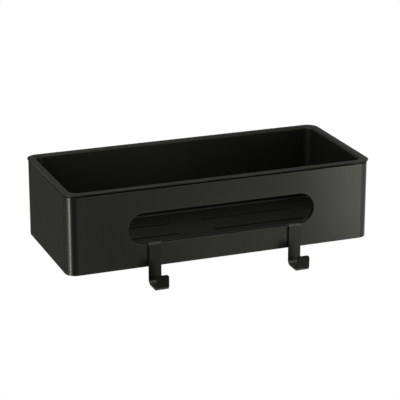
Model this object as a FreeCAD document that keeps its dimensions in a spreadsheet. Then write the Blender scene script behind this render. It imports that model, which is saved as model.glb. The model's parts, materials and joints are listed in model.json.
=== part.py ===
import FreeCAD, Part
import math
import os

import Sketcher

# A wall-hung storage caddy: a sheet-metal sleeve, a lift-out plastic tub and two strip hooks.
# Millimetres. +Z is up, +X runs along the front, +Y points into the wall.
# The origin lies on the wall, midway between the two screw holes.

driving = {
    # Sleeve: one band of sheet bent to a rounded rectangle, open above and below.
    "sleeve_width": 300.0,
    "sleeve_depth": 132.2,
    "sleeve_height": 74.0,
    "sleeve_corner": 10.0,
    "sheet": 1.5,
    "sheet_ease": 0.15,
    # Slot in the front of the sleeve, with round ends; its rise is to its middle.
    "slot_length": 184.4,
    "slot_height": 30.5,
    "slot_rise": 37.0,
    # Screw holes in the back, and the flanged bushes that line them.
    "fixing_spacing": 200.0,
    "fixing_rise": 52.0,
    "screw_bore": 5.5,
    "screw_head": 9.0,
    "bush_barrel": 8.0,
    "bush_play": 0.1,
    "bush_flange": 14.0,
    "flange_thickness": 2.2,
    "bush_room": 2.0,
    # Tub: tapered walls, and a rim that hangs over the sleeve above a shadow gap.
    "tub_wall": 2.0,
    "tub_taper": 0.8,
    "tub_corner": 8.0,
    "side_room": 3.3,
    "leg_room": 0.5,
    "floor_thickness": 2.0,
    "floor_rise": 1.0,
    "floor_round": 1.6,
    "rim_overhang": 1.25,
    "rim_wall_gap": 0.3,
    "rim_gap": 1.8,
    "rim_lip": 1.2,
    "rim_round": 2.5,
    "lip_round": 0.6,
    "lip_ease": 0.2,
    "seat_inset": 0.95,
    "collar_depth": 6.0,
    "collar_play": 0.4,
    "collar_lead": 2.0,
    # Seat and collar reach this far in from the ends of the front and of the sides.
    "front_seat": 18.0,
    "side_seat": 24.1,
    # Window in the tub, this much larger all round than the slot before it.
    "window_margin": 0.5,
    "window_ease": 0.4,
    # Drain slots in the floor of the tub, in rows of two.
    "drain_start": 17.0,
    "drain_length": 95.0,
    "drain_width": 3.2,
    "drain_pitch": 30.0,
    "drain_rows": 3,
    "drain_bevel": 0.15,
    # Strip hooks, hung over the lower edge of the slot.
    "hook_width": 12.0,
    "hook_strip": 2.0,
    "hook_ease": 0.12,
    "hook_play": 0.3,
    "hook_seat": 0.1,
    "hook_crown": 0.6,
    "hook_leg": 10.0,
    "hook_drop": 16.7,
    "hook_reach": 23.0,
    "hook_bend": 2.9,
    "hook_tip": 14.8,
    "hook_tip_round": 2.0,
    "left_hook_offset": 67.5,
    "right_hook_offset": 72.0,
}

# Sizes and places that follow from the driving dimensions.
derived = {
    "sleeve_base": "-fixing_rise",
    "sleeve_top": "sleeve_height - fixing_rise",
    "sleeve_centre": "-sleeve_depth / 2",
    "inner_width": "sleeve_width - 2 * sheet",
    "inner_depth": "sleeve_depth - 2 * sheet",
    "inner_corner": "sleeve_corner - sheet",
    "slot_level": "slot_rise - fixing_rise",
    "slot_flat": "slot_length - slot_height",
    "slot_end": "slot_height / 2",
    "slot_sill": "slot_rise - slot_height / 2 - fixing_rise",
    "fixing_half": "fixing_spacing / 2",
    "fixing_hole": "bush_barrel / 2 + bush_play",
    "bush_depth": "sheet + flange_thickness",
    "bore_depth": "sheet + flange_thickness - (screw_head - screw_bore) / 2",
    "bore_radius": "screw_bore / 2",
    "head_radius": "screw_head / 2",
    "barrel_radius": "bush_barrel / 2",
    "flange_radius": "bush_flange / 2",
    "side_inset": "sheet + side_room",
    "front_inset": "sheet + hook_play + hook_strip + leg_room",
    "back_inset": "sheet + flange_thickness + bush_room",
    "tub_base": "floor_rise - fixing_rise",
    "floor_top": "floor_rise + floor_thickness - fixing_rise",
    "rim_top": "sleeve_height + rim_gap + rim_lip - fixing_rise",
    "tub_centre": "-(sleeve_depth - front_inset + back_inset) / 2",
    "tub_width": "sleeve_width - 2 * side_inset",
    "tub_depth": "sleeve_depth - front_inset - back_inset",
    "tub_outer_corner": "tub_corner + tub_wall",
    "base_width": "tub_width - 2 * tub_taper",
    "base_depth": "tub_depth - 2 * tub_taper",
    "base_corner": "tub_corner + tub_wall - tub_taper",
    "base_round": "floor_round + tub_wall",
    "mouth_width": "tub_width - 2 * tub_wall",
    "mouth_depth": "tub_depth - 2 * tub_wall",
    "floor_width": "mouth_width - 2 * tub_taper",
    "floor_depth": "mouth_depth - 2 * tub_taper",
    "floor_corner": "tub_corner - tub_taper",
    "collar_base": "sleeve_height - collar_depth - fixing_rise",
    "relief_height": "collar_depth + rim_gap",
    "front_relief": "sleeve_width - 2 * front_seat",
    "side_relief": "sleeve_depth - 2 * side_seat",
    "collar_width": "inner_width - 2 * collar_play",
    "collar_length": "inner_depth - 2 * collar_play",
    "collar_corner": "inner_corner - collar_play",
    "seat_width": "sleeve_width - 2 * seat_inset",
    "seat_depth": "sleeve_depth - 2 * seat_inset",
    "seat_corner": "sleeve_corner - seat_inset",
    "lip_base": "sleeve_height + rim_gap - fixing_rise",
    "lip_width": "sleeve_width + 2 * rim_overhang",
    "lip_depth": "sleeve_depth + rim_overhang - rim_wall_gap",
    "lip_centre": "-(sleeve_depth + rim_overhang + rim_wall_gap) / 2",
    "lip_corner": "sleeve_corner + rim_overhang",
    "window_end": "slot_end + window_margin",
    "window_cut": "front_inset + tub_taper + 2 * tub_wall",
    "drain_end": "drain_width / 2",
    "drain_near": "drain_start + drain_width / 2",
    "drain_flat": "drain_length - drain_width",
    "drain_span": "(drain_rows - 1) * drain_pitch",
    "drain_first_row": "tub_centre - drain_span / 2",
    "drain_cut": "2 * floor_thickness",
    "leg_line": "sheet + hook_play + hook_strip / 2",
    "crown_line": "hook_seat + hook_strip / 2",
    "front_line": "hook_play + hook_strip / 2",
    "run_line": "slot_sill - sleeve_base + hook_drop - hook_strip / 2",
    "tip_line": "hook_reach - hook_strip / 2",
    "tip_level": "slot_sill - sleeve_base + hook_drop - hook_tip",
    "crown_radius": "hook_crown + hook_strip / 2",
    "bend_radius": "hook_bend + hook_strip / 2",
    "leg_end": "slot_sill - hook_leg",
    "leg_place": "leg_line - sleeve_depth",
    "sleeve_front": "-sleeve_depth",
    "left_hook_place": "-left_hook_offset",
    "wall_cut": "2 * sheet",
}

os.makedirs("parts", exist_ok=True)
doc = FreeCAD.newDocument("wall_caddy")

# The sheet of sizes: driving numbers in the first rows, formulas under them.
sizes = doc.addObject("Spreadsheet::Sheet", "sizes")
entries = [(alias, str(number)) for alias, number in driving.items()]
entries += [(alias, "=" + formula) for alias, formula in derived.items()]
for row, (alias, content) in enumerate(entries, start=1):
    sizes.set(f"A{row}", alias)
    sizes.set(f"B{row}", content)
    sizes.setAlias(f"B{row}", alias)
doc.recompute()

near = 0.01  # how close two coordinates are to count as one


def size(alias):
    """The present value of one cell, as a plain number."""
    return float(sizes.get(alias))


def bind(item, links):
    """Tie properties of an object to cells of the sheet."""
    for path, alias in links.items():
        item.setExpression(path, f"sizes.{alias}")


def new_body(label):
    """An empty body, with its label."""
    body = doc.addObject("PartDesign::Body", label)
    body.Label = label
    return body


def new_sketch(body, name, plane, offsets):
    """A sketch on one of the body's origin planes, moved by cells of the sheet."""
    sketch = body.newObject("Sketcher::SketchObject", name)
    support = next(item for item in body.Origin.OriginFeatures if item.Role == plane)
    sketch.AttachmentSupport = [(support, "")]
    sketch.MapMode = "FlatFace"
    bind(sketch, {f"AttachmentOffset.Base.{axis}": alias for axis, alias in offsets.items()})
    return sketch


def point(x, y):
    """A point of a sketch."""
    return FreeCAD.Vector(x, y, 0)


def circle(x, y, radius):
    """A full circle of a sketch."""
    return Part.Circle(point(x, y), FreeCAD.Vector(0, 0, 1), radius)


def arc(x, y, radius, start_degrees, end_degrees):
    """Part of a circle, run anticlockwise."""
    return Part.ArcOfCircle(circle(x, y, radius), math.radians(start_degrees), math.radians(end_degrees))


def join_in_ring(sketch, ids):
    """Each piece of the outline runs smoothly into the one after it."""
    for this, following in zip(ids, ids[1:] + ids[:1]):
        sketch.addConstraint(Sketcher.Constraint("Tangent", this, 2, following, 1))


def dimension(sketch, name, alias, kind, *where):
    """Add a dimension with a name and tie it to a cell."""
    index = sketch.addConstraint(Sketcher.Constraint(kind, *where, size(alias)))
    sketch.renameConstraint(index, name)
    bind(sketch, {f"Constraints.{name}": alias})


def rounded_rectangle(sketch, mark, width, depth, corner):
    """A rectangle with round corners about the sketch's origin: four lines and four tangent arcs."""
    x = size(width) / 2
    y = size(depth) / 2
    r = size(corner)
    ids = list(sketch.addGeometry([
        Part.LineSegment(point(r - x, -y), point(x - r, -y)),
        arc(x - r, r - y, r, -90, 0),
        Part.LineSegment(point(x, r - y), point(x, y - r)),
        arc(x - r, y - r, r, 0, 90),
        Part.LineSegment(point(x - r, y), point(r - x, y)),
        arc(r - x, y - r, r, 90, 180),
        Part.LineSegment(point(-x, y - r), point(-x, r - y)),
        arc(r - x, r - y, r, 180, 270),
    ], False))
    front, right_front, right, right_back, back, left_back, left, left_front = ids
    join_in_ring(sketch, ids)
    for line in (front, back):
        sketch.addConstraint(Sketcher.Constraint("Horizontal", line))
    for line in (right, left):
        sketch.addConstraint(Sketcher.Constraint("Vertical", line))
    for bend in (right_back, left_back, left_front):
        sketch.addConstraint(Sketcher.Constraint("Equal", right_front, bend))
    sketch.addConstraint(Sketcher.Constraint("Symmetric", right_front, 3, left_back, 3, -1, 1))
    dimension(sketch, mark + "_width", width, "DistanceX", left, 1, right, 1)
    dimension(sketch, mark + "_depth", depth, "DistanceY", front, 1, back, 1)
    dimension(sketch, mark + "_corner", corner, "Radius", right_front)


def rectangle(sketch, width, depth):
    """A plain rectangle about the sketch's origin."""
    x = size(width) / 2
    y = size(depth) / 2
    corners = [point(-x, -y), point(x, -y), point(x, y), point(-x, y)]
    following = corners[1:] + corners[:1]
    lines = [Part.LineSegment(start, end) for start, end in zip(corners, following)]
    ids = list(sketch.addGeometry(lines, False))
    for this, after in zip(ids, ids[1:] + ids[:1]):
        sketch.addConstraint(Sketcher.Constraint("Coincident", this, 2, after, 1))
    front, right, back, left = ids
    for line in (front, back):
        sketch.addConstraint(Sketcher.Constraint("Horizontal", line))
    for line in (right, left):
        sketch.addConstraint(Sketcher.Constraint("Vertical", line))
    sketch.addConstraint(Sketcher.Constraint("Symmetric", front, 1, back, 1, -1, 1))
    dimension(sketch, "width", width, "DistanceX", front, 1, front, 2)
    dimension(sketch, "depth", depth, "DistanceY", right, 1, right, 2)


def round_ended_slot(sketch, mark, middle, flat, end):
    """A slot on the sketch's X axis about x = middle; gives back the arcs at its two ends."""
    half = size(flat) / 2
    r = size(end)
    ids = list(sketch.addGeometry([
        Part.LineSegment(point(middle - half, -r), point(middle + half, -r)),
        arc(middle + half, 0, r, -90, 90),
        Part.LineSegment(point(middle + half, r), point(middle - half, r)),
        arc(middle - half, 0, r, 90, 270),
    ], False))
    lower, right, _, left = ids
    join_in_ring(sketch, ids)
    sketch.addConstraint(Sketcher.Constraint("Equal", right, left))
    sketch.addConstraint(Sketcher.Constraint("Horizontal", lower))
    if middle:
        sketch.addConstraint(Sketcher.Constraint("PointOnObject", left, 3, -1))
    else:
        sketch.addConstraint(Sketcher.Constraint("Symmetric", left, 3, right, 3, -1, 1))
    dimension(sketch, mark + "_flat", flat, "DistanceX", left, 3, right, 3)
    dimension(sketch, mark + "_end", end, "Radius", right)
    return left, right


def extrude(body, kind, name, sketch, length, flip=False):
    """A pad or a pocket of one sketch; a pocket has to take material away."""
    before = None if body.Shape.isNull() else body.Shape.Volume
    feature = body.newObject("PartDesign::" + kind, name)
    feature.Profile = sketch
    feature.Reversed = flip
    bind(feature, {"Length": length})
    doc.recompute()
    if kind == "Pocket" and body.Shape.Volume >= before:
        raise ValueError(f"{name} cuts nothing")
    return feature


def loft(body, kind, name, lower, upper):
    """A ruled loft between two outlines, added or taken away."""
    feature = body.newObject("PartDesign::" + kind, name)
    feature.Profile = lower
    feature.Sections = [upper]
    feature.Ruled = True
    doc.recompute()
    return feature


def dress(body, kind, name, base, test, amount):
    """A fillet or a chamfer on the edges of a feature that pass a test."""
    numbered = enumerate(base.Shape.Edges, start=1)
    edges = [f"Edge{number}" for number, edge in numbered if test(edge)]
    feature = body.newObject("PartDesign::" + kind, name)
    feature.Base = (base, edges)
    bind(feature, {"Radius" if kind == "Fillet" else "Size": amount})
    doc.recompute()
    return feature


def lies_at(edge, level):
    """Whether an edge lies in the level plane at this height."""
    return abs(edge.BoundBox.ZMin - level) < near and abs(edge.BoundBox.ZMax - level) < near


def on_outline(edge, width, depth, centre):
    """Whether an edge ends on the sides of a rounded rectangle, where its arcs meet its lines."""
    for vertex in edge.Vertexes:
        across = abs(abs(vertex.X) - size(width) / 2)
        along = abs(abs(vertex.Y - size(centre)) - size(depth) / 2)
        if min(across, along) > near:
            return False
    return True


def edges_at(level, *outline):
    """A test for edges at one height and, where an outline is named, on that outline."""
    def test(edge):
        return lies_at(edge, size(level)) and (not outline or on_outline(edge, *outline))

    return test


def build_sleeve():
    """The bent band, with its front slot and the screw holes in its back."""
    body = new_body("outer_sleeve")
    plan = new_sketch(body, "sleeve_plan", "XY_Plane", {"y": "sleeve_centre", "z": "sleeve_base"})
    rounded_rectangle(plan, "outer", "sleeve_width", "sleeve_depth", "sleeve_corner")
    rounded_rectangle(plan, "inner", "inner_width", "inner_depth", "inner_corner")
    extrude(body, "Pad", "sleeve_band", plan, "sleeve_height")

    # The slot is cut backwards from the front plane, through the front wall alone.
    slot = new_sketch(body, "slot_outline", "XZ_Plane", {"y": "slot_level", "z": "sleeve_depth"})
    round_ended_slot(slot, "slot", 0, "slot_flat", "slot_end")
    extrude(body, "Pocket", "front_slot", slot, "wall_cut")

    # The screw holes are cut forwards from the wall plane, through the back wall alone.
    holes = new_sketch(body, "hole_outline", "XZ_Plane", {})
    for mark, side in (("left", -1), ("right", 1)):
        hole = holes.addGeometry(circle(side * size("fixing_half"), 0, size("fixing_hole")), False)
        holes.addConstraint(Sketcher.Constraint("PointOnObject", hole, 3, -1))
        ends = (-1, 1, hole, 3) if side > 0 else (hole, 3, -1, 1)
        dimension(holes, mark + "_place", "fixing_half", "DistanceX", *ends)
        dimension(holes, mark + "_radius", "fixing_hole", "Radius", hole)
    drilled = extrude(body, "Pocket", "screw_holes", holes, "wall_cut", flip=True)

    # The rims of the band and both rims of the slot are eased.
    def is_rim(edge):
        box = edge.BoundBox
        in_front = box.YMax < size("sleeve_front") + size("sheet") + near and box.YLength < near
        if in_front and box.ZMin > size("sleeve_base") + near and box.ZMax < size("sleeve_top") - near:
            return True
        return lies_at(edge, size("sleeve_base")) or lies_at(edge, size("sleeve_top"))

    dress(body, "Fillet", "eased_rims", drilled, is_rim, "sheet_ease")
    return body


def build_tub():
    """The moulded tub: rim, corner seats and collar, tapered shell, window and drain slots."""
    body = new_body("inner_tub")

    # The rim is a plate that hangs over the sleeve; from here on down the outside only narrows.
    lip = new_sketch(body, "lip_plan", "XY_Plane", {"y": "lip_centre", "z": "lip_base"})
    rounded_rectangle(lip, "lip", "lip_width", "lip_depth", "lip_corner")
    rim = extrude(body, "Pad", "rim_plate", lip, "rim_lip")
    outline = ("lip_width", "lip_depth", "lip_centre")
    rounded = dress(body, "Fillet", "rounded_lip", rim, edges_at("rim_top", *outline), "lip_round")
    dress(body, "Fillet", "eased_lip", rounded, edges_at("lip_base", *outline), "lip_ease")

    # The seat sits on the sleeve's top edge and holds the rim a shadow gap above it.
    seat = new_sketch(body, "seat_plan", "XY_Plane", {"y": "sleeve_centre", "z": "sleeve_top"})
    rounded_rectangle(seat, "seat", "seat_width", "seat_depth", "seat_corner")
    extrude(body, "Pad", "seat_step", seat, "rim_gap")

    # The collar centres the tub in the sleeve, with a lead-in below it.
    collar = new_sketch(body, "collar_plan", "XY_Plane", {"y": "sleeve_centre", "z": "collar_base"})
    rounded_rectangle(collar, "collar", "collar_width", "collar_length", "collar_corner")
    ring = extrude(body, "Pad", "collar_ring", collar, "collar_depth")
    dress(body, "Chamfer", "collar_lead_in", ring, edges_at("collar_base"), "collar_lead")

    # Seat and collar stay at the four corners alone; the gap between the corners is open.
    reliefs = (("front", "front_relief", "sleeve_depth"), ("side", "sleeve_width", "side_relief"))
    for mark, width, depth in reliefs:
        plan = new_sketch(body, mark + "_relief_plan", "XY_Plane", {"y": "sleeve_centre", "z": "collar_base"})
        rectangle(plan, width, depth)
        extrude(body, "Pocket", mark + "_relief_cut", plan, "relief_height", flip=True)

    # The tapered walls, outside and then inside.
    base = new_sketch(body, "base_plan", "XY_Plane", {"y": "tub_centre", "z": "tub_base"})
    rounded_rectangle(base, "base", "base_width", "base_depth", "base_corner")
    head = new_sketch(body, "head_plan", "XY_Plane", {"y": "tub_centre", "z": "rim_top"})
    rounded_rectangle(head, "head", "tub_width", "tub_depth", "tub_outer_corner")
    block = loft(body, "AdditiveLoft", "tapered_block", base, head)
    dress(body, "Fillet", "rounded_base", block, edges_at("tub_base"), "base_round")
    floor = new_sketch(body, "floor_plan", "XY_Plane", {"y": "tub_centre", "z": "floor_top"})
    rounded_rectangle(floor, "floor", "floor_width", "floor_depth", "floor_corner")
    mouth = new_sketch(body, "mouth_plan", "XY_Plane", {"y": "tub_centre", "z": "rim_top"})
    rounded_rectangle(mouth, "mouth", "mouth_width", "mouth_depth", "tub_corner")
    hollow = loft(body, "SubtractiveLoft", "hollow", floor, mouth)
    swept = dress(body, "Fillet", "rounded_floor", hollow, edges_at("floor_top"), "floor_round")
    outline = ("mouth_width", "mouth_depth", "tub_centre")
    dress(body, "Fillet", "rounded_mouth", swept, edges_at("rim_top", *outline), "rim_round")

    # The window behind the sleeve's slot.
    opening = new_sketch(body, "window_outline", "XZ_Plane", {"y": "slot_level", "z": "sleeve_depth"})
    round_ended_slot(opening, "window", 0, "slot_flat", "window_end")
    window = extrude(body, "Pocket", "window", opening, "window_cut")
    lowest = size("slot_level") - size("window_end") - near
    highest = size("slot_level") + size("window_end") + near

    def is_window_rim(edge):
        box = edge.BoundBox
        in_front = box.YMax < size("sleeve_front") + size("window_cut")
        return in_front and lowest < box.ZMin and box.ZMax < highest and box.YLength < size("tub_wall") / 2

    dress(body, "Fillet", "eased_window", window, is_window_rim, "window_ease")

    # Two drain slots side by side, repeated in rows from front to back.
    drains = new_sketch(body, "drain_outline", "XY_Plane", {"y": "drain_first_row", "z": "floor_top"})
    middle = size("drain_near") + size("drain_flat") / 2
    near_end, _ = round_ended_slot(drains, "right_drain", middle, "drain_flat", "drain_end")
    dimension(drains, "right_place", "drain_near", "DistanceX", -1, 1, near_end, 3)
    _, near_end = round_ended_slot(drains, "left_drain", -middle, "drain_flat", "drain_end")
    dimension(drains, "left_place", "drain_near", "DistanceX", near_end, 3, -1, 1)
    row = extrude(body, "Pocket", "drain_row", drains, "drain_cut")
    rows = body.newObject("PartDesign::LinearPattern", "drain_rows")
    rows.Originals = [row]
    rows.Direction = (drains, ["V_Axis"])
    bind(rows, {"Length": "drain_span", "Occurrences": "drain_rows"})
    body.Tip = rows
    doc.recompute()
    reach = size("drain_start") + size("drain_length") + near

    def is_drain_rim(edge):
        box = edge.BoundBox
        return lies_at(edge, size("floor_top")) and max(box.XMax, -box.XMin) < reach

    dress(body, "Chamfer", "bevelled_drains", rows, is_drain_rim, "drain_bevel")
    return body


def build_hook(label, place):
    """A flat strip carried along its bent line, and set at its place along the slot."""
    body = new_body(label)
    line = new_sketch(body, label + "_line", "YZ_Plane", {"x": "sleeve_front", "y": "slot_sill"})
    leg_x = size("leg_line")
    crown_y = size("crown_line")
    front_x = -size("front_line")
    run_y = -size("run_line")
    tip_x = -size("tip_line")
    crown = size("crown_radius")
    bend = size("bend_radius")
    ids = list(line.addGeometry([
        Part.LineSegment(point(leg_x, -size("hook_leg")), point(leg_x, crown_y - crown)),
        arc(leg_x - crown, crown_y - crown, crown, 0, 90),
        Part.LineSegment(point(leg_x - crown, crown_y), point(front_x + crown, crown_y)),
        arc(front_x + crown, crown_y - crown, crown, 90, 180),
        Part.LineSegment(point(front_x, crown_y - crown), point(front_x, run_y + bend)),
        arc(front_x - bend, run_y + bend, bend, -90, 0),
        Part.LineSegment(point(front_x - bend, run_y), point(tip_x + bend, run_y)),
        arc(tip_x + bend, run_y + bend, bend, 180, 270),
        Part.LineSegment(point(tip_x, run_y + bend), point(tip_x, -size("tip_level"))),
    ], False))
    leg, back_crown, top, front_crown, front, heel, run, toe, tip = ids
    for this, following in zip(ids, ids[1:]):
        # The two lower bends turn clockwise along the strip, so they are met at their far ends.
        leaves = 1 if this in (heel, toe) else 2
        enters = 2 if following in (heel, toe) else 1
        line.addConstraint(Sketcher.Constraint("Tangent", this, leaves, following, enters))
    for upright in (leg, front, tip):
        line.addConstraint(Sketcher.Constraint("Vertical", upright))
    for level in (top, run):
        line.addConstraint(Sketcher.Constraint("Horizontal", level))
    line.addConstraint(Sketcher.Constraint("Equal", back_crown, front_crown))
    line.addConstraint(Sketcher.Constraint("Equal", heel, toe))
    dimension(line, "crown", "crown_radius", "Radius", back_crown)
    dimension(line, "bend", "bend_radius", "Radius", heel)
    dimension(line, "leg_place", "leg_line", "DistanceX", -1, 1, leg, 1)
    dimension(line, "leg_length", "hook_leg", "DistanceY", leg, 1, -1, 1)
    dimension(line, "crown_place", "crown_line", "DistanceY", -1, 1, top, 1)
    dimension(line, "front_place", "front_line", "DistanceX", front, 1, -1, 1)
    dimension(line, "run_place", "run_line", "DistanceY", run, 1, -1, 1)
    dimension(line, "tip_place", "tip_line", "DistanceX", tip, 1, -1, 1)
    dimension(line, "tip_height", "tip_level", "DistanceY", tip, 2, -1, 1)

    section = new_sketch(body, label + "_section", "XY_Plane", {"y": "leg_place", "z": "leg_end"})
    rectangle(section, "hook_width", "hook_strip")
    strip = body.newObject("PartDesign::AdditivePipe", label + "_strip")
    strip.Profile = section
    strip.Spine = line
    doc.recompute()
    top_level = size("slot_sill") - size("tip_level")

    def is_tip_corner(edge):
        box = edge.BoundBox
        return lies_at(edge, top_level) and box.YMax < size("sleeve_front") and box.XLength < near

    rounded = dress(body, "Fillet", label + "_rounded_tip", strip, is_tip_corner, "hook_tip_round")
    dress(body, "Fillet", label + "_eased_edges", rounded, lambda edge: True, "hook_ease")
    bind(body, {"Placement.Base.x": place})
    return body


def build_bushes():
    """One flanged bush turned about its screw, and its mirror image on the other side."""
    body = new_body("right_bush")
    half = new_sketch(body, "bush_half_section", "YZ_Plane", {})
    back = 0.0
    inside = -size("sheet")
    face = -size("bush_depth")
    seat = -size("bore_depth")
    bore = size("bore_radius")
    barrel = size("barrel_radius")
    flange = size("flange_radius")
    head = size("head_radius")
    corners = [(back, bore), (back, barrel), (inside, barrel), (inside, flange),
               (face, flange), (face, head), (seat, bore)]
    following = corners[1:] + corners[:1]
    lines = [Part.LineSegment(point(*start), point(*end)) for start, end in zip(corners, following)]
    ids = list(half.addGeometry(lines, False))
    for this, after in zip(ids, ids[1:] + ids[:1]):
        half.addConstraint(Sketcher.Constraint("Coincident", this, 2, after, 1))
    back_end, barrel_side, shoulder, flange_side, flange_face, countersink, bore_side = ids
    for upright in (back_end, shoulder, flange_face):
        half.addConstraint(Sketcher.Constraint("Vertical", upright))
    for level in (barrel_side, flange_side, bore_side):
        half.addConstraint(Sketcher.Constraint("Horizontal", level))
    half.addConstraint(Sketcher.Constraint("PointOnObject", back_end, 1, -2))
    dimension(half, "sheet_depth", "sheet", "DistanceX", barrel_side, 2, -1, 1)
    dimension(half, "bush_depth", "bush_depth", "DistanceX", flange_side, 2, -1, 1)
    dimension(half, "bore_depth", "bore_depth", "DistanceX", bore_side, 1, -1, 1)
    dimension(half, "bore_radius", "bore_radius", "DistanceY", -1, 1, back_end, 1)
    dimension(half, "barrel_radius", "barrel_radius", "DistanceY", -1, 1, barrel_side, 1)
    dimension(half, "flange_radius", "flange_radius", "DistanceY", -1, 1, flange_side, 1)
    dimension(half, "head_radius", "head_radius", "DistanceY", -1, 1, countersink, 1)
    turned = body.newObject("PartDesign::Revolution", "turned_bush")
    turned.Profile = half
    turned.ReferenceAxis = (half, ["H_Axis"])
    bind(body, {"Placement.Base.x": "fixing_half"})
    doc.recompute()

    twin = doc.addObject("Part::Mirroring", "left_bush")
    twin.Source = body
    twin.Normal = FreeCAD.Vector(1, 0, 0)
    pair = doc.addObject("Part::Compound", "screw_bushes")
    pair.Label = "screw_bushes"
    pair.Links = [body, twin]
    doc.recompute()
    return pair


def check_document():
    """Stop if any object of the document failed, before anything is written."""
    for item in doc.Objects:
        if "Invalid" in item.State or "Error" in item.State:
            raise ValueError(f"{item.Label} failed: {item.State}")


pieces = [
    build_sleeve(),
    build_tub(),
    build_hook("left_hook", "left_hook_place"),
    build_hook("right_hook", "right_hook_offset"),
    build_bushes(),
]
doc.recompute()
check_document()
for piece in pieces:
    if piece.Shape.isNull() or not piece.Shape.isValid():
        raise ValueError(f"{piece.Label} has no valid shape")
for piece in pieces:
    piece.Shape.exportStep(f"parts/{piece.Label}.step")
    print(piece.Label, len(piece.Shape.Solids), "solids", round(piece.Shape.Volume / 1000, 2), "cm3")
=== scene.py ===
import json
import math

import bpy
import numpy as np
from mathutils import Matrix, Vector

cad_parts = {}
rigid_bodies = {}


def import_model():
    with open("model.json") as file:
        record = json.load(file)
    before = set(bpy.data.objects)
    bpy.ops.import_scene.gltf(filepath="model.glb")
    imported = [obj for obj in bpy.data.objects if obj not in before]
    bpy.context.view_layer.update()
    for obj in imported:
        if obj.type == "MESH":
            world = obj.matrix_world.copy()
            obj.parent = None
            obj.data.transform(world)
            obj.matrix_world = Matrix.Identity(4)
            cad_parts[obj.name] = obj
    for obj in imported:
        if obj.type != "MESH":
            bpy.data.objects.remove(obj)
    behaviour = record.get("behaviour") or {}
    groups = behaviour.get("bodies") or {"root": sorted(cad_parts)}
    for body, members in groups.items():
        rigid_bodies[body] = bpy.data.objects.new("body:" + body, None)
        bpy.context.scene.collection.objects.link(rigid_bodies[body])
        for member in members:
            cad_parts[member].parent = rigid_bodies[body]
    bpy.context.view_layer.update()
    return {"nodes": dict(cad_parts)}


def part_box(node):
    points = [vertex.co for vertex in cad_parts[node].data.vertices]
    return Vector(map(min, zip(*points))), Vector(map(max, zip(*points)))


for leftover in list(bpy.data.objects):  # whatever the start-up file brings
    bpy.data.objects.remove(leftover)

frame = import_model()
nodes = frame["nodes"]
scene = bpy.context.scene
scene.view_settings.view_transform = "Standard"
plainWhite = (1.0, 1.0, 1.0)
print("frame loaded:", ", ".join(sorted(nodes)))


# Camera: a long lens, to the front left of the caddy and a little above it.
photoCamera = {
    "place": (-0.5596, -1.5214, 0.5099),
    "turn": -21.127,  # degrees about Z
    "dip": 18.69,  # degrees below level
    "lens": 154.76,  # mm
    "sensor": 36.0,  # mm
    "reach": 100.0,  # metres
}


def addCamera(setup):
    data = bpy.data.cameras.new("camera")
    data.lens = setup["lens"]
    data.sensor_width = setup["sensor"]
    data.clip_end = setup["reach"]
    camera = bpy.data.objects.new("camera", data)
    camera.location = setup["place"]
    camera.rotation_euler = (math.radians(90.0 - setup["dip"]), 0.0, math.radians(setup["turn"]))
    scene.collection.objects.link(camera)
    scene.camera = camera


addCamera(photoCamera)
print("camera placed")


class Wire:
    # One output of a node tree: arithmetic adds Math nodes, and grow adds any other node.
    def __init__(self, tree, socket=None):
        self.tree = tree
        self.socket = socket

    def grow(self, kind, settings=None, links=None, out=0):
        node = self.tree.nodes.new(kind)
        for name, value in (settings or {}).items():
            setattr(node, name, value)
        for name, value in (links or {}).items():
            if isinstance(value, Wire):
                self.tree.links.new(value.socket, node.inputs[name])
            else:
                node.inputs[name].default_value = value
        return Wire(self.tree, node.outputs[out] if node.outputs else None)

    def also(self, out):  # another output of the same node
        return Wire(self.tree, self.socket.node.outputs[out])

    def maths(self, operation, *values):
        return self.grow("ShaderNodeMath", {"operation": operation}, dict(enumerate(values)))

    def __add__(self, other):
        return self.maths("ADD", self, other)

    __radd__ = __add__

    def __sub__(self, other):
        return self.maths("SUBTRACT", self, other)

    def __rsub__(self, other):
        return self.maths("SUBTRACT", other, self)

    def __mul__(self, other):
        return self.maths("MULTIPLY", self, other)

    __rmul__ = __mul__

    def __abs__(self):
        return self.maths("ABSOLUTE", self)

    def most(self, other):
        return self.maths("MAXIMUM", self, other)

    def least(self, other):
        return self.maths("MINIMUM", self, other)

    def hypot(self, other):
        return (self * self + other * other).root()

    def root(self):
        return self.maths("SQRT", self)

    def fade(self, start, end):  # 0 at start, 1 at end, smooth between
        return self.grow("ShaderNodeMapRange", {"interpolation_type": "SMOOTHSTEP"},
                         {"Value": self, "From Min": start, "From Max": end})

    def blend(self, first, second):  # the first colour at 0, the second at 1
        return self.grow("ShaderNodeMix", {"data_type": "RGBA"}, {0: self, 6: first, 7: second}, 2)

    def noise(self, scale, detail):  # this is a vector; the scale has one number for each axis
        stretched = self.grow("ShaderNodeMapping", {}, {"Vector": self, "Scale": scale})
        return self.grow("ShaderNodeTexNoise", {}, {"Vector": stretched, "Scale": 1.0, "Detail": detail})


def newFinish(name):
    finish = bpy.data.materials.new(name)
    finish.use_nodes = True
    finish.node_tree.nodes.clear()
    return finish, Wire(finish.node_tree)


def colour(level, hue):  # a hue brought to a level, as the four numbers of a colour socket
    return tuple(level * part for part in hue) + (1.0,)


def objectPlace(wire):  # Object coordinates, and their X, Y and Z one by one
    place = wire.grow("ShaderNodeTexCoord", out="Object")
    x = place.grow("ShaderNodeSeparateXYZ", {}, {0: place})
    return place, x, x.also(1), x.also(2)


def mixed(weights, *wires):  # the first weight, plus each wire times its own weight
    total = weights[0]
    for weight, wire in zip(weights[1:], wires):
        total = total + weight * wire
    return total


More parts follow.
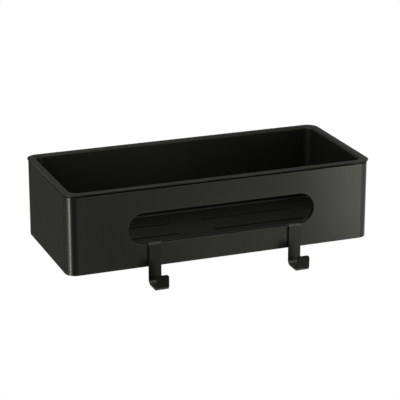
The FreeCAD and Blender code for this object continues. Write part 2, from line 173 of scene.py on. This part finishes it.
def wornColour(setup, rubbed, shade):  # the coat's colour, paler where it is rubbed (on the sleeve's slot edge also a painted glint), times the shade
    fresh = colour(1.0, setup["hue"])
    worn = colour(setup["wornLevel"] / setup["level"], setup["hue"])
    tone = rubbed.blend(fresh, worn)
    return tone.grow("ShaderNodeVectorMath", {"operation": "SCALE"}, {0: tone, "Scale": shade})


def relief(setup, height):
    strength, distance = setup["bump"]
    return height.grow("ShaderNodeBump", {}, {"Height": height, "Strength": strength, "Distance": distance})


def coat(base, roughness, bump, gloss, tint):
    return base.grow("ShaderNodeBsdfPrincipled", {}, {
        "Base Color": base, "Roughness": roughness, "Normal": bump,
        "Specular IOR Level": gloss, "Specular Tint": colour(1.0, tint)})


def edgeOfBox(x, y, halfWidth, halfDepth, corner):
    # Distance from a rounded rectangle about the origin: negative inside it, zero on its outline.
    outX = abs(x) - (halfWidth - corner)
    outY = abs(y) - (halfDepth - corner)
    return outX.most(0.0).hypot(outY.most(0.0)) + outX.most(outY).least(0.0) - corner


def edgeOfSlot(x, z, halfFlat, middle, radius):
    # Distance from a slot with round ends: negative in the slot, zero on its outline.
    along = (abs(x) - halfFlat).most(0.0)
    return along.hypot(z - middle) - radius


# Black satin coat on the sheet of the sleeve, with worn edges and a painted glint on the slot's edge.
sleeveCoat = {
    "level": 0.0043,
    "hue": (1.0, 1.03, 0.83),
    # wornLevel is also the level of the painted glint on the slot's edge.
    "wornLevel": 0.013,
    "gloss": 0.19,
    "streaks": ((45.0, 45.0, 1900.0), 3.0),  # per metre: long round the band, fine up it; then the detail
    "clouds": ((22.0, 22.0, 30.0), 4.0),
    "peel": ((1100.0, 1100.0, 1100.0), 1.0),
    "shade": (0.86, 0.2, 0.08),  # plain, clouds, streaks
    "roughness": (0.21, 0.06, 0.02, -0.06),  # plain, clouds, streaks, rubbed edges
    "slot": (0.07695, -0.015, 0.01525),  # half flat, middle and end radius of the front slot
    "slotDepth": 0.004,  # the slot's edge is rubbed and painted with a glint no further back than this
    "slotFall": 10.0,  # beyond that depth, each metre counts as this many from the edge
    "rubbed": (0.0002, 0.0013),  # metres from an edge: worn (the slot's edge also with a painted glint), and untouched
    "rubbedClouds": (0.36, 0.58),  # the clouds between which the wear comes in
    "streakRelief": 0.3,  # beside the peel
    "bump": (0.015, 0.0004),  # strength and distance
}


def coatedSleeve(setup):
    finish, wire = newFinish("sleeve_satin_coat")
    low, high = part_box("outer_sleeve")
    place, x, y, z = objectPlace(wire)
    streaks = place.noise(*setup["streaks"])
    clouds = place.noise(*setup["clouds"])
    peel = place.noise(*setup["peel"])
    rims = (high.z - z).least(z - low.z)
    # The top and bottom rims are worn; the slot's edge is worn and painted paler as a glint.
    behind = (y - low.y - setup["slotDepth"]).most(0.0)
    slot = abs(edgeOfSlot(x, z, *setup["slot"])) + setup["slotFall"] * behind
    edges = 1.0 - rims.least(slot).fade(*setup["rubbed"])
    rubbed = edges * clouds.fade(*setup["rubbedClouds"])
    shade = setup["level"] * mixed(setup["shade"], clouds, streaks)
    base = wornColour(setup, rubbed, shade)
    roughness = mixed(setup["roughness"], clouds, streaks, rubbed)
    bump = relief(setup, setup["streakRelief"] * streaks + peel)
    shader = coat(base, roughness, bump, setup["gloss"], setup["hue"])
    wire.grow("ShaderNodeOutputMaterial", {}, {"Surface": shader})
    return finish


nodes["outer_sleeve"].material_slots[0].material = coatedSleeve(sleeveCoat)
print("sleeve finished")


# The same coat on the hooks, with its grain along the strip, and painted light on the foot, the crown and the
# tip.
hookCoat = {
    "level": 0.0036,
    "hue": (1.0, 1.03, 0.84),
    "wornLevel": 0.0080,
    "shadeOnTipLevel": 0.0003,
    "shadeOnTipFrom": (-0.1510, -0.1535),  # along Y: the leg fades into the tip's painted shade
    "sheenOnCradleLevel": 0.017,
    "sheenOnCradleFrom": (-0.0640, -0.0665),  # along Z: the top of the hook's foot is painted paler from here, a painted sheen
    "highlightOnCrownLevel": 0.025,
    "highlightOnCrownFrom": (-0.0312, -0.0301),  # along Z: the painted highlight on the crown's bend starts here
    "highlightOnCrownTo": (-0.0296, -0.0287),  # and up to here
    "gloss": 0.165,
    "shadeOnTipGloss": 0.105,
    "grain": ((2100.0, 60.0, 60.0), 3.0),  # per metre, then the detail
    "clouds": ((90.0, 90.0, 90.0), 3.0),
    "peel": ((1100.0, 1100.0, 1100.0), 1.0),
    "shade": (0.82, 0.2, 0.16),  # plain, clouds, grain
    "roughness": (0.22, 0.06, 0.06, -0.05),  # plain, clouds, grain, rubbed edges
    "rubbed": (0.0001, 0.0009),  # metres from the strip's edges: worn, and untouched
    "rubbedClouds": (0.40, 0.60),
    "grainRelief": 0.4,  # beside the peel
    "bump": (0.05, 0.0004),
}


def coatedHook(name, setup):
    finish, wire = newFinish(name + "_satin_coat")
    low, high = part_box(name)
    middle = (low.x + high.x) / 2.0
    half = (high.x - low.x) / 2.0
    place, x, y, z = objectPlace(wire)
    grain = place.noise(*setup["grain"])
    clouds = place.noise(*setup["clouds"])
    peel = place.noise(*setup["peel"])
    # Painted sheen: the top of the foot is painted paler below this height.
    cradleSheen = z.fade(*setup["sheenOnCradleFrom"])
    # Painted highlight: the crown's bend is painted paler between these heights.
    crownHighlight = z.fade(*setup["highlightOnCrownFrom"]) * (1.0 - z.fade(*setup["highlightOnCrownTo"]))
    # Painted shade: the tip is painted darker, apart from the foot.
    tipShade = y.fade(*setup["shadeOnTipFrom"]) * (1.0 - cradleSheen)
    sides = half - abs(x - middle)
    rubbed = (1.0 - sides.fade(*setup["rubbed"])) * clouds.fade(*setup["rubbedClouds"])
    # Painted light on the hook: a paler foot top (painted sheen), a paler crown bend (painted highlight) and
    # a darker tip (painted shade).
    level = setup["level"]
    for part, mask in (("sheenOnCradleLevel", cradleSheen), ("highlightOnCrownLevel", crownHighlight), ("shadeOnTipLevel", tipShade)):
        level = level + (setup[part] - setup["level"]) * mask
    shade = level * mixed(setup["shade"], clouds, grain)
    base = wornColour(setup, rubbed, shade)
    roughness = mixed(setup["roughness"], clouds, grain, rubbed)
    bump = relief(setup, setup["grainRelief"] * grain + peel)
    # The tip takes a darker, less glossy copy of the coat: painted shade.
    leg, shadeOnTipCoat = (coat(base, roughness, bump, setup[gloss], setup["hue"]) for gloss in ("gloss", "shadeOnTipGloss"))
    shader = wire.grow("ShaderNodeMixShader", {}, {0: tipShade, 1: leg, 2: shadeOnTipCoat})
    wire.grow("ShaderNodeOutputMaterial", {}, {"Surface": shader})
    return finish


for hook in ("left_hook", "right_hook"):
    nodes[hook].material_slots[0].material = coatedHook(hook, hookCoat)
print("hooks finished")


# Black moulded plastic of the tub, with a fine matt grain and painted shade in its drains.
tubPlastic = {
    "level": 0.0027,
    "hue": (1.0, 1.01, 0.86),
    "wornLevel": 0.010,
    "gloss": 0.14,
    "clouds": ((30.0, 30.0, 30.0), 4.0),  # per metre, then the detail
    "grain": ((1500.0, 1500.0, 1500.0), 2.0),
    "shade": (0.75, 0.3, 0.2),  # plain, clouds, grain
    "roughness": (0.44, 0.06, 0.06, -0.08, 0.5),  # plain, clouds, grain, rubbed rim, drains
    "rimCorner": 0.0111,  # radius of the rim's outline
    "rubbedIn": (-0.0016, -0.0004),  # metres from that outline: untouched, and worn
    "rubbedUnder": (-0.004, -0.001),  # metres from the rim's top: untouched, and worn
    "rubbedClouds": (0.38, 0.62),
    "drains": (0.0459, 0.0645, 0.0019),  # half flat, middle and half width of a drain slot, with its bevel
    "drainPitch": 0.030,
    "drainShift": 0.00008,  # the middle row's place, from the middle of the rim
    "drainEdge": (-0.0002, 0.0),  # metres from a drain's outline: matt with painted shade, and plain
    "drainFloor": (-0.04895, -0.04865),  # along Z: the matt, painted-shade inside of the drains ends here
    "drainPaintedShade": 0.8,  # share of the colour taken away in the drains: painted shade
    "bump": (0.12, 0.0003),
}


def mouldedTub(setup):
    finish, wire = newFinish("tub_moulded_plastic")
    low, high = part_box("inner_tub")
    middle = (low.y + high.y) / 2.0
    place, x, y, z = objectPlace(wire)
    clouds = place.noise(*setup["clouds"])
    grain = place.noise(*setup["grain"])
    outline = edgeOfBox(x, y - middle, high.x, (high.y - low.y) / 2.0, setup["rimCorner"])
    rim = outline.fade(*setup["rubbedIn"]) * (z - high.z).fade(*setup["rubbedUnder"])
    rubbed = rim * clouds.fade(*setup["rubbedClouds"])
    halfFlat, drainMiddle, drainHalf = setup["drains"]
    fromMiddle = abs(y - middle - setup["drainShift"])
    fromRow = fromMiddle.least(abs(fromMiddle - setup["drainPitch"]))
    drain = edgeOfSlot(abs(x) - drainMiddle, fromRow, halfFlat, 0.0, drainHalf)
    # Painted shade: the inside of the drains is painted darker, and made matt.
    drainShadeAndMatt = (1.0 - drain.fade(*setup["drainEdge"])) * (1.0 - z.fade(*setup["drainFloor"]))
    shade = setup["level"] * mixed(setup["shade"], clouds, grain) * (1.0 - setup["drainPaintedShade"] * drainShadeAndMatt)
    base = wornColour(setup, rubbed, shade)
    roughness = mixed(setup["roughness"], clouds, grain, rubbed, drainShadeAndMatt)
    shader = coat(base, roughness, relief(setup, grain), setup["gloss"], setup["hue"])
    wire.grow("ShaderNodeOutputMaterial", {}, {"Surface": shader})
    return finish


nodes["inner_tub"].material_slots[0].material = mouldedTub(tubPlastic)
print("tub finished")


# Black nylon of the two screw bushes, with faint rings from the mould.
bushNylon = {
    "level": (0.0128, 0.0192),  # the grain's dark and pale ends
    "hue": (1.0, 1.0, 0.97),
    "roughness": (0.50, 0.1),  # plain, grain
    "gloss": 0.3,
    "spacing": 0.100,  # each screw's distance from the middle
    "rings": 2600.0,  # radians per metre
    "grain": ((700.0, 700.0, 700.0), 3.0),  # per metre, then the detail
    "ringRelief": 0.3,  # beside the grain
    "bump": (0.1, 0.0003),
}


def ringedNylon(setup):
    finish, wire = newFinish("bush_nylon_rings")
    place, x, _, z = objectPlace(wire)
    radius = (abs(x) - setup["spacing"]).hypot(z)
    rings = wire.maths("SINE", radius * setup["rings"])
    grain = place.noise(*setup["grain"])
    dark, pale = (colour(level, setup["hue"]) for level in setup["level"])
    bump = relief(setup, setup["ringRelief"] * rings + grain)
    shader = coat(grain.blend(dark, pale), mixed(setup["roughness"], grain), bump, setup["gloss"], plainWhite)
    wire.grow("ShaderNodeOutputMaterial", {}, {"Surface": shader})
    return finish


nodes["screw_bushes"].material_slots[0].material = ringedNylon(bushNylon)
print("bushes finished")


# Plain pale floor, well below the caddy because it hangs on a wall.
floorPlan = {
    "level": -0.50,
    "radius": 16.0,
    "hub": 0.02,  # radius of the innermost ring
    "rings": 48,
    "spokes": 96,
    "albedo": 0.86,
    "whiteFrom": (0.25, 0.50),  # metres from the middle: the lit floor fades into plain white
}


def addFloor(setup):
    # A flat disc: radius times cosine and sine of the angle, with rings closer together near the middle.
    count = setup["spokes"]
    ring, spoke = np.meshgrid(
        np.linspace(0.0, 1.0, setup["rings"]) ** 2, np.arange(count), indexing="ij")
    radius = setup["hub"] + (setup["radius"] - setup["hub"]) * ring
    angle = 2.0 * np.pi * spoke / count
    height = np.full_like(radius, setup["level"])
    points = np.stack([radius * np.cos(angle), radius * np.sin(angle), height], -1)
    ringStart = np.arange(setup["rings"] - 1)[:, None] * count
    inner = ringStart + np.arange(count)[None, :]
    step = ringStart + np.roll(np.arange(count), -1)[None, :]
    faces = np.stack([inner, inner + count, step + count, step], -1).reshape(-1, 4).tolist()
    faces.append(list(range(count)))
    mesh = bpy.data.meshes.new("floor")
    mesh.from_pydata(points.reshape(-1, 3).tolist(), [], faces)
    mesh.update()
    floor = bpy.data.objects.new("floor", mesh)
    scene.collection.objects.link(floor)

    finish, wire = newFinish("floor_paper")
    _, x, y, _ = objectPlace(wire)
    far = x.hypot(y).fade(*setup["whiteFrom"])
    camera = wire.grow("ShaderNodeLightPath", out="Is Camera Ray")
    shown = camera.most(camera.also("Is Glossy Ray")).most(camera.also("Is Transmission Ray"))
    paper = wire.grow("ShaderNodeBsdfDiffuse", {}, {"Color": colour(setup["albedo"], plainWhite)})
    white = wire.grow("ShaderNodeEmission", {}, {"Color": colour(1.0, plainWhite), "Strength": 1.0})
    lit = wire.grow("ShaderNodeMixShader", {}, {0: far * shown, 1: paper, 2: white})
    under = wire.grow("ShaderNodeNewGeometry", out="Backfacing")
    clear = wire.grow("ShaderNodeBsdfTransparent")
    both = wire.grow("ShaderNodeMixShader", {}, {0: under, 1: lit, 2: clear})
    wire.grow("ShaderNodeOutputMaterial", {}, {"Surface": both})
    mesh.materials.append(finish)


addFloor(floorPlan)
print("floor laid")


# Soft light: a dome that is white at the horizon and grey overhead, and softboxes.
dome = {
    "horizon": 1.0,
    "overhead": 0.285,
    "overheadHue": (1.0, 1.01, 0.92),
    "fades": (0.0, 0.09),  # in sines of the height angle
}


def addDome(setup):
    world = bpy.data.worlds.new("dome")
    scene.world = world
    world.use_nodes = True
    world.node_tree.nodes.clear()
    wire = Wire(world.node_tree)
    place = wire.grow("ShaderNodeTexCoord", out="Generated")
    height = place.grow("ShaderNodeSeparateXYZ", {}, {0: place}, 2)
    low = colour(setup["horizon"], plainWhite)
    high = colour(setup["overhead"], setup["overheadHue"])
    sky = height.fade(*setup["fades"]).blend(low, high)
    light = wire.grow("ShaderNodeBackground", {}, {"Color": sky, "Strength": 1.0})
    wire.grow("ShaderNodeOutputWorld", {}, {"Surface": light})


addDome(dome)

softboxes = [
    {"name": "right_softbox", "place": (0.372, -0.521, -0.050), "aim": (0.11, -0.156, -0.03),
     "size": (0.14, 0.36), "glow": 6.1, "hue": plainWhite},
    {"name": "right_wrap", "place": (0.52, -0.368, -0.06), "aim": (0.176, -0.077, -0.04),
     "size": (0.31, 0.36), "glow": 1.1, "hue": plainWhite},
    {"name": "left_strip", "place": (-0.882, -0.435, 0.02), "aim": (-0.15, -0.12, 0.02),
     "size": (0.15, 0.95), "glow": 23.5, "hue": (1.0, 0.99, 1.10)},
    {"name": "left_wrap", "place": (-0.93, -0.20, -0.22), "aim": (-0.15, -0.11, 0.0),
     "size": (0.25, 0.5), "glow": 2.0, "hue": plainWhite},
    {"name": "front_top", "place": (0.42, -0.62, 1.02), "aim": (0.0, -0.13, -0.02),
     "size": (0.4, 1.3), "glow": 6.0, "hue": plainWhite},
    {"name": "overhead", "place": (-0.35, 0.20, 1.05), "aim": (0.0, -0.06, 0.0),
     "size": (0.9, 0.7), "glow": 8.5, "hue": plainWhite},
]


def addSoftbox(setup):
    data = bpy.data.lights.new(setup["name"], "AREA")
    data.shape = "RECTANGLE"
    data.size, data.size_y = setup["size"]
    data.color = setup["hue"]
    # the panel's brightness times pi times its area
    data.energy = setup["glow"] * math.pi * data.size * data.size_y
    lamp = bpy.data.objects.new(setup["name"], data)
    lamp.location = setup["place"]
    lamp.rotation_euler = (Vector(setup["aim"]) - lamp.location).to_track_quat("-Z", "Y").to_euler()
    scene.collection.objects.link(lamp)


for softbox in softboxes:
    addSoftbox(softbox)

# Cards that the camera doesn't see: dark and pale ones for the reflections, and two flags beside the front's
# left corner that keep the left strip's light off the front.
cardGrid = 9  # points along each side of a card
cards = [
    {"name": "camera_card", "middle": (-0.47, -1.05, -0.22), "across": (0.90, -0.22, 0.0),
     "up": (0.0, 0.0, 0.56), "level": 0.08, "hue": plainWhite, "flag": False},
    {"name": "left_card", "middle": (-0.40, 0.74, -0.20), "across": (0.95, 0.335, 0.0),
     "up": (-0.15, 0.45, 0.60), "level": 0.125, "hue": (1.0, 1.02, 0.85), "flag": False},
    {"name": "side_card", "middle": (-0.84, 0.36, -0.20), "across": (0.10, 0.56, 0.0),
     "up": (-0.40, 0.10, 0.60), "level": 0.45, "hue": (1.0, 1.02, 0.85), "flag": False},
    {"name": "fill_card", "middle": (0.205, -0.516, -0.225), "across": (0.19, 0.0, 0.0),
     "up": (0.0, 0.0, 0.20), "level": 1.68, "hue": plainWhite, "flag": False},
    {"name": "rim_card", "middle": (0.575, 0.25, 0.20), "across": (0.45, -0.26, 0.0),
     "up": (0.0, 0.0, 0.36), "level": 0.72, "hue": (1.0, 1.01, 0.92), "flag": False},
    {"name": "pale_flag", "middle": (-0.17, -0.1535, -0.085), "across": (0.0, 0.007, 0.0),
     "up": (0.0, 0.0, 0.23), "level": 1.0, "hue": plainWhite, "flag": True},
    {"name": "dark_flag", "middle": (-0.17, -0.2035, -0.085), "across": (0.0, 0.093, 0.0),
     "up": (0.0, 0.0, 0.23), "level": 0.08, "hue": plainWhite, "flag": True},
]


def addCard(setup):
    # A flat card: its middle, plus u times its width and v times its height, each from minus to plus a half.
    span = np.linspace(-0.5, 0.5, cardGrid)
    u, v = np.meshgrid(span, span)
    middle, across, up = (np.array(setup[part]) for part in ("middle", "across", "up"))
    points = middle + u[..., None] * across + v[..., None] * up
    index = np.arange(cardGrid ** 2).reshape(cardGrid, cardGrid)
    faces = np.stack([index[:-1, :-1], index[:-1, 1:], index[1:, 1:], index[1:, :-1]], -1).reshape(-1, 4)
    mesh = bpy.data.meshes.new(setup["name"])
    mesh.from_pydata(points.reshape(-1, 3).tolist(), [], faces.tolist())
    card = bpy.data.objects.new(setup["name"], mesh)
    card.visible_camera = False
    card.visible_diffuse = False
    card.visible_shadow = setup["flag"]  # only a flag holds back a lamp's light
    scene.collection.objects.link(card)
    finish, wire = newFinish(setup["name"])
    shown = colour(setup["level"], setup["hue"])
    felt = wire.grow("ShaderNodeEmission", {}, {"Color": shown, "Strength": 1.0})
    wire.grow("ShaderNodeOutputMaterial", {}, {"Surface": felt})
    mesh.materials.append(finish)


for card in cards:
    addCard(card)
print("lights up")
